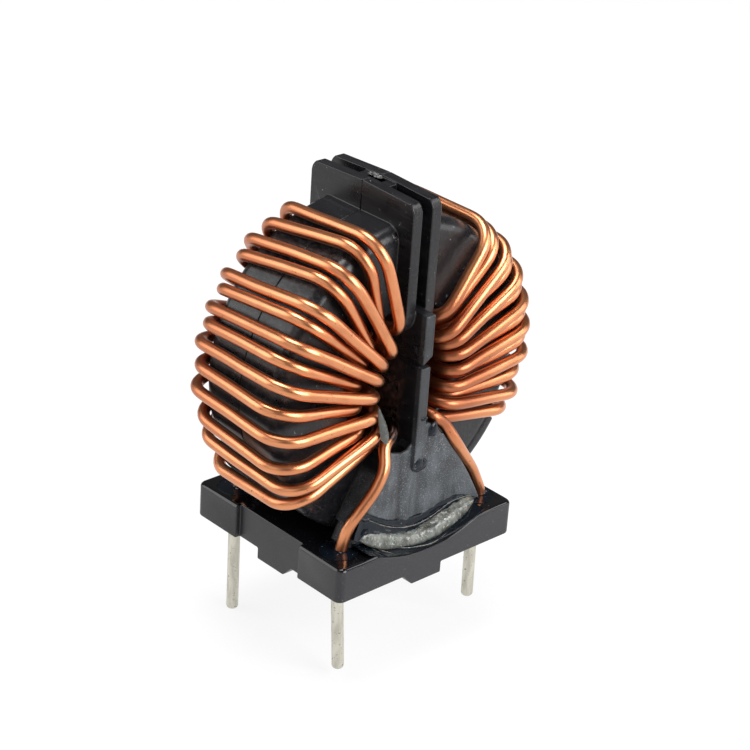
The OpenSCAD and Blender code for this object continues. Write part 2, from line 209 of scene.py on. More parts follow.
def enamelled_copper(colour, stain_and_shade):
    """Drawn copper wire under clear polyurethane enamel: a warm metal with soft lights, broken by die lines
    along the wire and by duller, redder patches where it was pulled round the case by hand. Painted shade
    browns it at the back and where the right turns run into the hole."""
    material, tree, place = located("Enamelled copper wire")
    # "lay" holds the distance along the wire and the place in its section, in millimetres
    lay = add(tree, "Attribute", attribute_name="lay").outputs["Vector"]
    # patches about 3 mm long and half the wire round
    patch = noise(tree, lay, (0.3, 1.1, 1.1), 3.0)
    wear_and_shade = ramp(tree, patch, 0.45, 0.72, high=0.4)
    # die lines 0.15 mm apart and 3 mm long, coarser than the real ones so that they show
    line = noise(tree, lay, (0.35, 6.5, 6.5), 2.0)
    # grain 0.12 mm across breaks the lights up
    grain = noise(tree, place, 8000.0, 1.0)
    fleck = noise(tree, place, 2600.0, 2.0)
    dirt = ramp(tree, fleck, 0.70, 0.76, high=0.7)
    # the last 1.8 mm above the base is stained by the varnish that drew up the wire
    level = add(tree, "SeparateXYZ", {"Vector": place})
    drawn = ramp(tree, level.outputs["Z"], 0.0068, 0.0050, high=0.75)
    wear_and_shade = calc(tree, "MAXIMUM", wear_and_shade, drawn)
    # painted shade browns the turns towards the back, and the right ones where they run into the hole
    rear = ramp(tree, level.outputs["Y"], -0.003, 0.006, high=0.62)
    across = from_axis(tree, place)
    inner = ramp(tree, across, 0.0130, 0.0085, high=0.7)
    right = ramp(tree, level.outputs["X"], 0.0, 0.001)
    inner = product(tree, inner, right)
    painted_shade = calc(tree, "MAXIMUM", rear, inner)
    above = ramp(tree, level.outputs["Z"], 0.0120, 0.0150)
    painted_shade = product(tree, painted_shade, above)
    wear_and_shade = calc(tree, "MAXIMUM", wear_and_shade, painted_shade)
    tone = blend(tree, wear_and_shade, colour, stain_and_shade)
    tone = blend(tree, dirt, tone, linear("#4A2A1C"))
    # the left wire's first turn is drowned in dark varnish in the hole, nearer than 7 mm to the ring's axis
    drowned = ramp(tree, across, 0.0070, 0.0060)
    low = ramp(tree, level.outputs["Z"], 0.0182, 0.0172)
    left = ramp(tree, level.outputs["X"], 0.0, -0.0005)
    drowned = product(tree, drowned, low, left)
    tone = blend(tree, drowned, tone, linear("#2B1B16"))
    dull = ramp(tree, line, 0.3, 0.7, 0.27, 0.34)
    dull = calc(tree, "MULTIPLY_ADD", wear_and_shade, 0.12, dull)
    ripple = relief(tree, line, 0.12, 0.00002)
    rough = relief(tree, grain, 0.3, 0.00001, ripple)
    surface(tree, {"Base Color": tone, "Metallic": 1.0, "Roughness": dull, "Normal": rough,
                   "Coat Weight": 0.2, "Coat Roughness": 0.25})
    return material


def dipped_solder(colour):
    """Wire end dipped in molten solder: a dull grey-white metal skin, wavy along the pin, with dark pits."""
    material, tree, place = located("Solder-dipped wire end")
    # runs 0.45 mm wide and 2.4 mm long down the pin
    run = noise(tree, place, (2200, 2200, 420), 3.0)
    pit = noise(tree, place, 3600.0, 2.0)
    pits = ramp(tree, pit, 0.66, 0.71, high=0.85)
    tone = ramp(tree, run, 0.35, 0.68, high=0.5)
    skin = blend(tree, tone, colour, linear("#9B988B"))
    skin = blend(tree, pits, skin, linear("#3D362C"))
    dull = ramp(tree, run, 0, 1, 0.32, 0.55)
    wavy = relief(tree, run, 0.4, 0.00004)
    surface(tree, {"Base Color": skin, "Metallic": 1.0, "Roughness": dull, "Normal": wavy})
    return material


def moulded_case(colour, haze):
    """Injection-moulded phenolic: near black and rather glossy, with faint flow streaks along the ring's
    axis, dust on the rim and brown dirt in the hole. The spacer's and tongues' outer faces carry a blue-grey
    varnish haze with fine sparkle, dimmed as painted shade in two hollows of the spacer and higher up."""
    material, tree, place = located("Moulded case plastic")
    at = add(tree, "SeparateXYZ", {"Vector": place})
    # streaks 0.3 mm wide and 4 mm long
    streak = noise(tree, place, (3200, 260, 3200), 3.0)
    cloud = noise(tree, place, 420.0, 4.0)
    fleck = noise(tree, place, 2400.0, 3.0, 0.6)
    dust = ramp(tree, fleck, 0.69, 0.75, high=0.5)
    lit = ramp(tree, streak, 0.5, 0.8, high=0.35)
    body = blend(tree, lit, colour, linear("#3A3A3C"))
    # brown dirt in the hole, nearer than 7.5 mm to the ring's axis, in blots 0.6 mm across
    inward = from_axis(tree, place)
    hollow = ramp(tree, inward, 0.0078, 0.0072)
    blot = noise(tree, place, 1600.0, 4.0, 0.65)
    blots = ramp(tree, blot, 0.42, 0.66)
    off = calc(tree, "ABSOLUTE", at.outputs["Y"])
    within = ramp(tree, off, 0.0070, 0.0060)
    lower = ramp(tree, at.outputs["Z"], 0.0230, 0.0190, 0.2, 1.0)
    blots = product(tree, blots, hollow, within, lower)
    body = blend(tree, blots, body, linear("#5A4238"))
    # dust on the upper rim clear of the fins, more than 15.4 mm from the ring's axis, in grains 0.3 mm across
    rim = ramp(tree, inward, 0.0154, 0.0160)
    high = ramp(tree, at.outputs["Z"], 0.0180, 0.0260)
    grit = noise(tree, place, (3000, 1500, 3000), 3.0, 0.7)
    grits = ramp(tree, grit, 0.45, 0.70, high=0.5)
    wide = calc(tree, "ABSOLUTE", at.outputs["X"])
    wide = ramp(tree, wide, 0.0050, 0.0075)
    grits = product(tree, grits, rim, wide, high)
    body = blend(tree, grits, body, linear("#55565A"))
    # haze on what lies more than 8.3 mm from the middle plane, and on the spacer's left flank
    faced = ramp(tree, off, 0.00830, 0.00838)
    # painted shade: the haze fades to 0.3 of itself above 18.5 mm, so higher faces stay darker
    below = ramp(tree, at.outputs["Z"], 0.0185, 0.0135, 0.3, 1.0)
    faced = product(tree, faced, below)
    flank = ramp(tree, at.outputs["X"], -0.0035, -0.0040)
    foot = ramp(tree, at.outputs["Z"], 0.0125, 0.0118, high=0.8)
    near = ramp(tree, off, 0.00575, 0.00585)
    flank = product(tree, flank, foot, near)
    faced = calc(tree, "MAXIMUM", faced, flank)
    # vertical runs in the haze, 0.9 mm wide and 6 mm long
    run = noise(tree, place, (1100, 1100, 160), 3.0)
    haze_and_shade = calc(tree, "ADD", run, cloud)
    haze_and_shade = ramp(tree, haze_and_shade, 0.8, 1.2, 0.25, 1.0)
    haze_and_shade = product(tree, haze_and_shade, faced)
    # painted shade: the haze is dimmed in two upright hollows, 2.1 mm left and 0.6 mm right of the middle
    for centre, half, depth in ((-0.0021, 0.0008, 0.75), (0.0006, 0.0006, 0.6)):
        away = calc(tree, "SUBTRACT", at.outputs["X"], centre)
        away = calc(tree, "ABSOLUTE", away)
        hollow_shade = ramp(tree, away, 0.0, half, 1 - depth, 1.0, interpolation_type="SMOOTHSTEP")
        haze_and_shade = product(tree, haze_and_shade, hollow_shade)
    body = blend(tree, haze_and_shade, body, haze)
    # sparkle 0.1 mm across in the haze, coarser than the real filler so that it shows
    spark = noise(tree, place, 9000.0, 0.0)
    sparks = ramp(tree, spark, 0.60, 0.80, high=0.32)
    sparks = product(tree, sparks, faced)
    sparks = calc(tree, "MAXIMUM", sparks, dust)
    body = blend(tree, sparks, body, linear("#A4ABB0"))
    gloss = ramp(tree, cloud, 0.3, 0.7, 0.24, 0.36)
    gloss = calc(tree, "MULTIPLY_ADD", faced, 0.08, gloss)
    grain = noise(tree, place, 5000.0, 2.0)
    bump = relief(tree, grain, 0.18, 0.00001)
    bump = relief(tree, streak, 0.3, 0.00003, bump)
    surface(tree, {"Base Color": body, "Roughness": gloss, "IOR": 1.55, "Specular IOR Level": 0.33,
                   "Normal": bump})
    return material


def varnished_base(colour):
    """Moulded phenolic base: satin flanks with a fine grain; the upper side is flooded with clear varnish,
    which mirrors what stands on it."""
    material, tree, place = located("Varnished base plastic")
    flat = add(tree, "NewGeometry").outputs["Normal"]
    facing = add(tree, "SeparateXYZ", {"Vector": flat})
    wet = ramp(tree, facing.outputs["Z"], 0.25, 0.6)
    # moulding grain 0.15 mm across, coarse enough to show
    grain = noise(tree, place, 6500.0, 2.0)
    cloud = noise(tree, place, 500.0, 3.0)
    fleck = noise(tree, place, 3000.0, 2.0)
    dust = ramp(tree, fleck, 0.72, 0.77, high=0.35)
    mottle = ramp(tree, grain, 0.35, 0.7, high=0.5)
    body = blend(tree, mottle, colour, linear("#303034"))
    body = blend(tree, wet, body, linear("#0C0C0F"))
    body = blend(tree, dust, body, linear("#86868A"))
    dry = ramp(tree, cloud, 0, 1, 0.34, 0.5)
    film = ramp(tree, cloud, 0, 1, 0.04, 0.12)
    gloss = add(tree, "Mix", {0: wet, 2: dry, 3: film})
    rough = relief(tree, grain, 0.45, 0.00001)
    rough = add(tree, "Mix", {0: wet, 4: rough, 5: flat}, data_type="VECTOR")
    surface(tree, {"Base Color": body, "Roughness": gloss, "IOR": 1.55, "Specular IOR Level": 0.42,
                   "Normal": rough.outputs[1]})
    return material


def cured_adhesive(colour):
    """Cured bonding adhesive: milky and half clear, mottled grey-green where thin, with a pitted skin."""
    material, tree, place = located("Cured adhesive")
    # clots 1 mm across, threads 0.3 mm across
    clot = noise(tree, place, 900.0, 4.0, 0.62)
    thread = noise(tree, place, 3000.0, 3.0, distortion=1.2)
    milk = ramp(tree, clot, 0.34, 0.62)
    body = blend(tree, milk, linear("#3E413D"), colour)
    white = ramp(tree, thread, 0.58, 0.75, high=0.7)
    body = blend(tree, white, body, linear("#D5D6CE"))
    # the shard above the spacer is thin, so the black behind it shows through
    level = add(tree, "SeparateXYZ", {"Vector": place})
    thin = ramp(tree, level.outputs["Z"], 0.0140, 0.0155, high=0.72)
    body = blend(tree, thin, body, linear("#353A38"))
    lumpy = relief(tree, clot, 0.35, 0.00008)
    pitted = relief(tree, thread, 0.3, 0.00004, lumpy)
    surface(tree, {"Base Color": body, "Roughness": 0.22, "IOR": 1.5, "Transmission Weight": 0.2,
                   "Normal": pitted, "Subsurface Weight": 0.2, "Subsurface Scale": 0.0005})
    return material


def wet_varnish(colour):
    """Pooled impregnating varnish over black plastic: blue-black, mirror smooth, faintly rippled."""
    material, tree, place = located("Pooled varnish")
    ripple = noise(tree, place, 1300.0, 2.0)
    speck = noise(tree, place, 3800.0, 2.0)
    dust = ramp(tree, speck, 0.70, 0.76, high=0.6)
    body = blend(tree, dust, colour, linear("#8C949A"))
    wavy = relief(tree, ripple, 0.3, 0.00005)
    surface(tree, {"Base Color": body, "Roughness": 0.07, "IOR": 1.52, "Specular IOR Level": 0.22,
                   "Normal": wavy})
    return material


def torn_plastic(colour):
    """Scuffed phenolic where the moulding's gate was broken off: pale, dry and crumbly."""
    material, tree, place = located("Torn gate scar")
    crumb = noise(tree, place, 3500.0, 4.0, 0.7)
    pale = ramp(tree, crumb, 0.42, 0.68)
    body = blend(tree, pale, linear("#1A1A1C"), colour)
    bump = relief(tree, crumb, 0.8, 0.00006)
    surface(tree, {"Base Color": body, "Roughness": 0.55, "Normal": bump})
    return material


def sintered_ferrite(colour):
    """Tumbled manganese-zinc ferrite: a matt dark grey ceramic with fine pores."""
    material, tree, place = located("Sintered ferrite")
    pore = noise(tree, place, 4000.0, 3.0)
    body = blend(tree, pore, linear("#2C2C2E"), colour)
    bump = relief(tree, pore, 0.3, 0.00002)
    surface(tree, {"Base Color": body, "Roughness": 0.6, "Normal": bump})
    return material


def white_sweep():
    """Matt paper that shows white to the camera and in gloss, and still takes a faint shadow."""
    material, tree = blank("White paper sweep")
    path = add(tree, "LightPath")
    seen = path.outputs["Is Camera Ray"]
    for ray in ("Is Glossy Ray", "Is Transmission Ray"):
        seen = calc(tree, "MAXIMUM", seen, path.outputs[ray])
    paper = add(tree, "BsdfDiffuse", {"Color": linear("#F2F2F2")})
    glow = add(tree, "Emission", {"Color": (1, 1, 1, 1), "Strength": 1.0})
    lift = product(tree, seen, 0.85)
    both = add(tree, "MixShader", {0: lift, 1: paper, 2: glow})
    add(tree, "OutputMaterial", {"Surface": both})
    return material


# ---------------------------------------------------------------- shapes


def piece(name, shape, materials, replaced=(), pick=None, lay=None):
    """Puts a shape's points, in millimetres, and faces into a smooth mesh object that rides on the body."""
    points, faces = shape
    mesh = bpy.data.meshes.new(name)
    if isinstance(faces, np.ndarray):
        faces = faces.tolist()
    mesh.from_pydata((points * MM).tolist(), [], faces)
    mesh.update()
    for material in materials:
        mesh.materials.append(material)
    if pick is not None:
        mesh.polygons.foreach_set("material_index", np.asarray(pick, np.int32))
    if lay is not None:
        mesh.attributes.new("lay", "FLOAT_VECTOR", "POINT").data.foreach_set("vector", lay.ravel())
    mesh.polygons.foreach_set("use_smooth", np.ones(len(mesh.polygons), bool))
    return placed(name, mesh, replaced)


def placed(name, mesh, replaced):
    """Links a mesh as an object of the scene, hangs it on the root body and hides the parts it stands for."""
    obj = bpy.data.objects.new(name, mesh)
    bpy.context.scene.collection.objects.link(obj)
    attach(obj, "root")
    if replaced:
        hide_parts(*replaced)
    return obj


def eased(name, node, material, width, angle):
    """Copy of a moulded node, merged and freed of its flat triangles, whose sharp edges are rounded."""
    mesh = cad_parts[node].data.copy()
    mesh.name = name
    bm = bmesh.new()
    bm.from_mesh(mesh)
    bmesh.ops.remove_doubles(bm, verts=bm.verts, dist=1e-6)
    bmesh.ops.dissolve_limit(bm, angle_limit=math.radians(0.4), verts=bm.verts, edges=bm.edges)
    bm.to_mesh(mesh)
    bm.free()
    mesh.materials.clear()
    mesh.materials.append(material)
    mesh.polygons.foreach_set("use_smooth", np.ones(len(mesh.polygons), bool))
    mesh.set_sharp_from_angle(angle=math.radians(angle))
    obj = placed(name, mesh, [node])
    bevel = obj.modifiers.new("eased edges", "BEVEL")
    bevel.width, bevel.segments = width, 2
    bevel.limit_method, bevel.angle_limit = "ANGLE", math.radians(angle)
    bevel.use_clamp_overlap = False
    bevel.harden_normals = True
    bevel.miter_outer = "MITER_ARC"
    return obj


def grid_faces(rows, columns, wrap=False):
    """Quads of a grid of points, row by row; with wrap, the last column joins the first."""
    n, k = np.meshgrid(np.arange(rows - 1), np.arange(columns if wrap else columns - 1), indexing="ij")
    m = (k + 1) % columns
    near, far = n * columns, (n + 1) * columns
    return np.stack([near + k, near + m, far + m, far + k], -1).reshape(-1, 4)


def unit(v):
    """Vectors divided by their own lengths."""
    return v / np.linalg.norm(v, axis=-1, keepdims=True)


def on_face(r, a, y):
    """Point at radius r and angle a, in degrees, in the ring's plane, y along its axis."""
    r, a, y = np.broadcast_arrays(r, np.radians(a), y)
    return np.stack([r * np.cos(a), y, r * np.sin(a)], -1)


def lumps(a, b, seed):
    """Soft unevenness between -1 and 1: a mean of sines of a and b with seeded pitches and phases."""
    draw = np.random.default_rng(seed)
    pitch = draw.uniform(0.6, 3.2, 9)
    turn, phase = draw.uniform(0, 2 * math.pi, 9), draw.uniform(0, 2 * math.pi, 9)
    wave = [np.sin(p * (a * math.cos(t) + b * math.sin(t)) + f) for p, t, f in zip(pitch, turn, phase)]
    return np.mean(wave, axis=0) * 1.8


# Millimetres, with x away from the middle plane to the left and z from the ring's axis
CASE_R, HOLE_R, HALF_W = 16.3, 7.3, 5.65
RING_Z, FOOT_H, BASE_TOP = 20.75, 1.25, 5.05
WIRE_R, CLEAR, RISE, RIM_LIFT = 0.62, 0.08, 1.5, 0.35
RIM_RUN = CASE_R + CLEAR + WIRE_R
WALL_RUN = HOLE_R - CLEAR - WIRE_R
FACE_RUN = HALF_W + CLEAR + WIRE_R + 0.1
FAN_OUT, FAN_HALF, SADDLE_T, SADDLE_HALF = 8.4, 30, 0.6, 57
TROUGH_R = CASE_R + SADDLE_T + 0.35
TONGUE_OUT, TONGUE_X = 9.0, 0.625
BACK_OUT = FACE_RUN + RISE + 2 * WIRE_R + CLEAR
PIN_X, PIN_Y = 9.5, 8.0
BEAD_OUT = FAN_OUT + 0.08
# angles along the front bead, and the radius of its upper edge there
BEAD_AT = [242, 242.5, 243.4, 245, 247, 251, 256, 261, 267, 273, 279, 285, 291, 295, 297.5, 299]
BEAD_TOP = [16.45, 16.0, 15.7, 15.48, 15.4, 15.4, 15.52, 15.8,
            15.95, 15.85, 15.75, 15.7, 15.9, 16.3, 16.8, 17.15]
# ejector mark on the tongue, and torn gate on the bridge between the fins
MARK_R, MARK_Y, MARK_Z = 0.52, -8.35, 24.6
SCAR_X, SCAR_Y, BRIDGE_TOP = 0.42, 0.55, 39.80
TURNS = 14
LEAD_BEND = 9.0
# a wire's path: steps of a bend, distance between points, softened length, waver, and its ends' rounding
BEND_STEPS, PITCH, SOFT, WAVER, DOME = 12, 0.35, 1.1, 0.05, 0.45
# solder reaches this high above the board
SOLDER_TOP = FOOT_H + 0.4
# varnish: outer edge in the trough, pool round a lead, and the pool's inner edge inside the wire
FILM_OUT, POOL_R, POOL_IN = 11.05, 1.95, 0.5
STAND_OFF = np.array([0, 0.4, 1.8, 0.4, 1.8, 0.4, 2, 0.5, 1.8, 0.5, 1.7, 0, 1.2, 0.1])
LEFT = {
    "arcs": [[110, 213], [112, 214], [114, 239]],
    "stray": [[0, -3, -1, -4, -2, -5, -5, -6.5, -6, -5, -3, 1.5, 2.5, 0],
              [0, 1.3, 1, -0.5, -0.5, -3, -4, -6.5, -7.5, -7.5, -6.5, -4, -1, 5],
              [0, 5.5, -2, -1.5, -5, -8.5, -7.5, -8, -6.5, -6, -5, -3.5, -6.5, -0.6]],
    "off": (0.45, 0.8), "spread": 0.2, "entry": 9.2, "pins": (8.85, 9.75),
    "lean": ((0.6, -0.4), (0.08, -0.06)),
    "front_lead": [[-4.8, -9.05, -7.35], [-6.2, -9.05, -9.75], [-7.85, -8.85, -11.5], [-8.75, -8.35, -13.1]],
}
RIGHT = {
    "arcs": [[124, 206.5], [120, 207], [114, 239]],
    "stray": [[0, 2, 3, 2, 2.5, 2.5, 2, 0.5, -1, -2.5, -3, -2, -0.5, 0],
              [0, 3, 1.5, 1, 1, 0.5, 0, -1, -2, -2.5, -2.5, -2, -1, 2],
              [0, 5, -2, -2, -5, -8, -7, -7, -6, -5.5, -5, -5.5, -6.5, 0]],
    "off": (0.15, 0.5), "spread": 0.9, "entry": 10.4, "pins": (7.25, 8.15),
    "lean": ((-0.15, -0.1), (0.05, 0.05)),
    "front_lead": [],
}


def beside_fan(r, off, y):
    """Point beside the fan's flank, r from the ring's centre and off sideways from the flank."""
    a = math.radians(270 - FAN_HALF)
    return [r * math.cos(a) + off * math.sin(a), y, r * math.sin(a) - off * math.cos(a)]


def lead(side, how):
    """Corner points of a lead, from the fan's upper corner to the pin's tip, which leans a little."""
    touch, pin_y, end = WIRE_R + 1.5 * CLEAR, side * PIN_Y, 0 if side < 0 else 1
    out = -FAN_OUT - 2 * CLEAR if side < 0 else BACK_OUT
    aside, along = how["lean"][end]
    down = how["front_lead"] if side < 0 else []
    down = down or [beside_fan(1.27 * HOLE_R, touch, out),
                    beside_fan(1.67 * HOLE_R, touch + 0.4 * how["spread"], (out + pin_y) / 2),
                    beside_fan(2.05 * HOLE_R, touch + 0.8 * how["spread"], pin_y)]
    return [*down,
            [-how["entry"], pin_y, BASE_TOP - RING_Z],
            [-PIN_X, pin_y, FOOT_H + 1.4 - RING_Z],
            [-PIN_X + aside, pin_y + along, -how["pins"][end] - RING_Z]]


def wire_route(how):
    """Corners of a whole wire: front lead, first layer upwards, second layer downwards, back lead.
    A turn's place is its first angle plus an even share of the arc plus its own stray."""
    turn = np.arange(TURNS)
    front, back, hole = (a + (b - a) * turn / (TURNS - 1) + np.array(s)
                         for (a, b), s in zip(how["arcs"], how["stray"]))
    second = turn % 2 == 0
    rise = np.where((second & (turn > 0)) | (turn == TURNS - 1), RISE, 0)
    depth = FACE_RUN + np.where(second, RISE, 0)
    rim_front = RIM_RUN + np.where(front + 3 > 270 - SADDLE_HALF, SADDLE_T, 0)
    rim_back = RIM_RUN + np.where(back + 3 > 270 - SADDLE_HALF, SADDLE_T, 0)
    laps = np.stack([on_face(0.74 * CASE_R, back, FACE_RUN + rise),
                     on_face(rim_back, back, FACE_RUN),
                     on_face(rim_front + how["off"][0], front, -FACE_RUN - how["off"][1] - RIM_LIFT * second),
                     on_face(WALL_RUN - STAND_OFF, hole, -depth),
                     on_face(WALL_RUN - STAND_OFF, hole, depth)], 1)
    order = np.concatenate([turn[::-1][::2], turn[::2]])
    laps = laps[order].reshape(-1, 3)
    end = laps[-1]
    over, inner, at = FACE_RUN + RISE, WALL_RUN - 2.5 * WIRE_R, how["arcs"][2][1]
    start = [beside_fan(0.95 * HOLE_R, WIRE_R + 3 * CLEAR, WIRE_R - FAN_OUT),
             on_face(inner, at, -over - CLEAR),
             on_face(inner, at, over),
             on_face(WALL_RUN - CLEAR, at - 3.5, over)]
    return np.array([*lead(-1, how)[::-1], *start, *laps[:-1],
                     [end[0], BACK_OUT, end[2]], *lead(1, how)])


def rounded(route, radius, wide_radius, steps):
    """Path with each corner replaced by an arc, which uses at most 0.45 of either run. The arc is wide over
    the front of the rim, and widest where a lead comes down. Point t of an arc is its centre plus
    k (e cos(swing t) - u sin(swing t)), from one run's end to the next."""
    a, b, c = route[:-2], route[1:-1], route[2:]
    u, v = unit(a - b), unit(c - b)
    half = np.arccos(np.clip((u * v).sum(-1), -1, 1)) / 2
    r = np.hypot(b[:, 0], b[:, 2])
    wide = (b[:, 1] < 0) & (b[:, 2] > -0.9 * CASE_R) & (r > CASE_R)
    outside = np.abs(b[:, 1]) > FAN_OUT - 0.6
    at_lead = outside & (r > 1.2 * HOLE_R) & (r < CASE_R) & (b[:, 2] > BASE_TOP - RING_Z - 1)
    wish = np.where(wide, wide_radius, np.where(at_lead, LEAD_BEND, radius))
    shorter = np.minimum(np.linalg.norm(a - b, axis=-1), np.linalg.norm(c - b, axis=-1))
    cut = np.minimum(wish / np.tan(half), 0.45 * shorter)
    k = cut * np.tan(half)
    centre = b + unit(u + v) * (cut / np.cos(half))[:, None]
    e = unit(b + u * cut[:, None] - centre)
    swing = (math.pi - 2 * half)[:, None] * np.linspace(0, 1, steps + 1)
    arcs = centre[:, None] + k[:, None, None] * (e[:, None] * np.cos(swing)[..., None]
                                                 - u[:, None] * np.sin(swing)[..., None])
    return np.concatenate([route[:1], arcs.reshape(-1, 3), route[-1:]])


def refined(path, pitch, soft, close):
    """Path drawn again with evenly spaced points and softened by two moving means over the soft length, with
    points added at the given close distances from both of its ends; also gives the distance along it."""
    s = np.concatenate([[0], np.cumsum(np.linalg.norm(np.diff(path, axis=0), axis=1))])
    even = np.linspace(0, s[-1], int(s[-1] / pitch) + 1)
    reach = max(1, int(soft / pitch / 2))
    mean = np.ones(2 * reach + 1) / (2 * reach + 1)
    line = np.stack([np.interp(even, s, path[:, i]) for i in range(3)], 1)
    for _ in range(2):
        before, after = 2 * line[:1] - line[reach:0:-1], 2 * line[-1:] - line[-2:-reach - 2:-1]
        padded = np.concatenate([before, line, after])
        line = np.stack([np.convolve(padded[:, i], mean, "valid") for i in range(3)], 1)
    at = np.unique(np.concatenate([even, close, even[-1] - close]))
    at = at[np.concatenate([[True], np.diff(at) > 1e-4])]
    return np.stack([np.interp(at, even, line[:, i]) for i in range(3)], 1), at


def capped(rows, columns):
    """Faces of a bar whose rings are the rows of a grid: its walls, then its two ends."""
    last = (rows - 1) * columns
    walls = grid_faces(rows, columns, wrap=True).tolist()
    return walls + [list(range(columns))[::-1], list(range(last, last + columns))]


def tube(path, radius, sides):
    """Round bar along a path: a ring's point is the path's point plus its radius times p cos(w) + q sin(w),
    where p is the ring's sideways direction made square to the path and q is square to both. A ring lies in
    the plane that halves the angle between its two runs."""
    run = unit(np.diff(path, axis=0))
    along = unit(np.concatenate([run[:1], run[:-1] + run[1:], run[-1:]]))
    angle = np.arctan2(path[:, 2], path[:, 0])
    side = np.stack([-np.sin(angle), np.zeros_like(angle), np.cos(angle)], 1)
    p = unit(side - (side * along).sum(1, keepdims=True) * along)
    q = np.cross(along, p)
    w = np.linspace(0, 2 * math.pi, sides, endpoint=False)
    around = p[:, None] * np.cos(w)[:, None] + q[:, None] * np.sin(w)[:, None]
    rings = path[:, None] + radius[:, None, None] * around
    return rings.reshape(-1, 3), capped(len(path), sides)


def winding(name, node, how, mirrored, settings, materials):
    """One wire from pin tip to pin tip. Its runs waver by a few hundredths of a millimetre, and its cut ends
    are rounded: near an end the radius is multiplied by sqrt(1 - (1 - d / DOME)^2)."""
    close = DOME * np.array([0, 0.03, 0.1, 0.22, 0.4, 0.65, 1.0])
    bent = rounded(wire_route(how), settings.bend / MM, settings.rim_bend / MM, BEND_STEPS)
    path, at = refined(bent, PITCH, SOFT, close)
    waver = np.stack([lumps(at * 0.35, 0, seed) for seed in (3, 4, 5)], 1)
    path = path + WAVER * waver * np.clip((path[:, 2:] + RING_Z - 6) / 3, 0, 1)
    wire, pin = settings.wire / MM / 2, settings.pin / MM / 2
    soldered = path[:, 2] + RING_Z < SOLDER_TOP
    near = np.clip(np.minimum(at, at[-1] - at) / DOME, 0.03, 1)
    radius = np.where(soldered, pin, wire) * np.sqrt(1 - (1 - near) ** 2)
    points, faces = tube(path, radius, settings.sides)
    w = np.tile(np.linspace(0, 2 * math.pi, settings.sides, endpoint=False), len(path))
    lay = np.stack([np.repeat(at, settings.sides), WIRE_R * np.cos(w), WIRE_R * np.sin(w)], 1)
    points[:, 2] += RING_Z
    if mirrored:
        points[:, 0] *= -1
        lay[:, 0] += 1000
        faces = [f[::-1] for f in faces]
    pick = np.concatenate([np.repeat(soldered[:-1], settings.sides), [True, True]])
    return piece(name, (points, faces), materials, [node], pick, lay)


def closed(upper, lower, wrap=False, turned=False, lift=0.0):
    """Closed patch, raised by lift: an upper grid of points, a lower one, and walls between their rims. With
    wrap, each row is a ring; turned, the faces look the other way."""
    rows, columns = upper.shape[:2]
    points = np.concatenate([upper.reshape(-1, 3), lower.reshape(-1, 3)])
    points[:, 2] += lift
    count = rows * columns
    top = grid_faces(rows, columns, wrap)
    across, down = np.arange(columns), np.arange(rows) * columns
    rims = [(across, True), (across + count - columns, False)]
    if wrap:
        rims = [(np.append(line, line[0]), flip) for line, flip in rims]
    else:
        rims += [(down, False), (down + columns - 1, True)]
    faces = [top, top[:, ::-1] + count]
    for line, flip in rims:
        quad = np.stack([line[:-1], line[1:], line[1:] + count, line[:-1] + count], 1)
        faces.append(quad if flip else quad[:, ::-1])
    faces = np.concatenate(faces)
    return points, faces[:, ::-1] if turned else faces


def joined(parts):
    """One set of points and faces out of several."""
    points, faces, start = [], [], 0
    for more, some in parts:
        faces += [[v + start for v in face] for face in some]
        start += len(more)
        points.append(more)
    return np.concatenate(points), faces


def spacer(side):
    """Full spacer below the hole, which stands on the base beside the trough. Each column runs straight from
    the hole's edge to the trough or the base. The face's relief across x is a sum of soft steps
    1 / (1 + exp(-x / w)) and bells exp(-(x / w)^2): the right side stands proud of a crease, and two swells
    lie left of it."""
    top = np.array([[-3.7, 14.38], [-3.0, 14.15], [-2.1, 13.85], [-1.3, 14.0], [-0.75, 14.6], [-0.6, 16.1],
                    [1.3, 16.3], [2.1, 15.9], [2.75, 15.1], [3.5, 14.3]])
    sole = BASE_TOP - 0.03
    low = np.array([[-8.45, sole], [-7.2, sole], [-5.4, 4.6], [-3.4, 3.9], [-1.7, 3.62], [0, 3.55],
                    [3.4, 3.9], [5.4, 4.6], [7.2, sole], [9.72, sole]])
    s, t = np.linspace(0, 1, 120)[:, None], np.linspace(0, 1, 70)
    knots = np.linspace(0, 1, len(top))
    above, below = (np.stack([np.interp(s, knots, line[:, i]) for i in (0, 1)], -1) for line in (top, low))
    place = above + (below - above) * t[:, None]
    x, z = place[..., 0] + 0.4 * s ** 6 * np.sin(math.pi * t), place[..., 1]
    proud = 0.22 / (1 + np.exp(-(x - 1.15) / 0.10)) + 0.20 * np.exp(-((x + 0.95) / 0.75) ** 2)
    proud = proud + 0.16 * np.exp(-((x + 3.6) / 0.8) ** 2) + 0.02 * lumps(x * 1.2, z * 0.5, 61)
    # the relief fades in below the tongue's end, and the rim is rounded
    rim = np.minimum(np.minimum(s, 1 - s) / 0.012, np.minimum(t, 1 - t) / 0.015)
    fade, sunk = np.clip((13.4 - z) / 2.5, 0.25, 1), 0.25 * (1 - np.sqrt(np.clip(rim, 0, 1)))
    out = FAN_OUT + 0.03 + proud * fade - sunk
    front = np.stack([x, side * out, z], -1)
    back = np.stack([x, np.full_like(x, side * (HALF_W + 0.02)), z], -1)
    return closed(front, back, turned=side > 0)


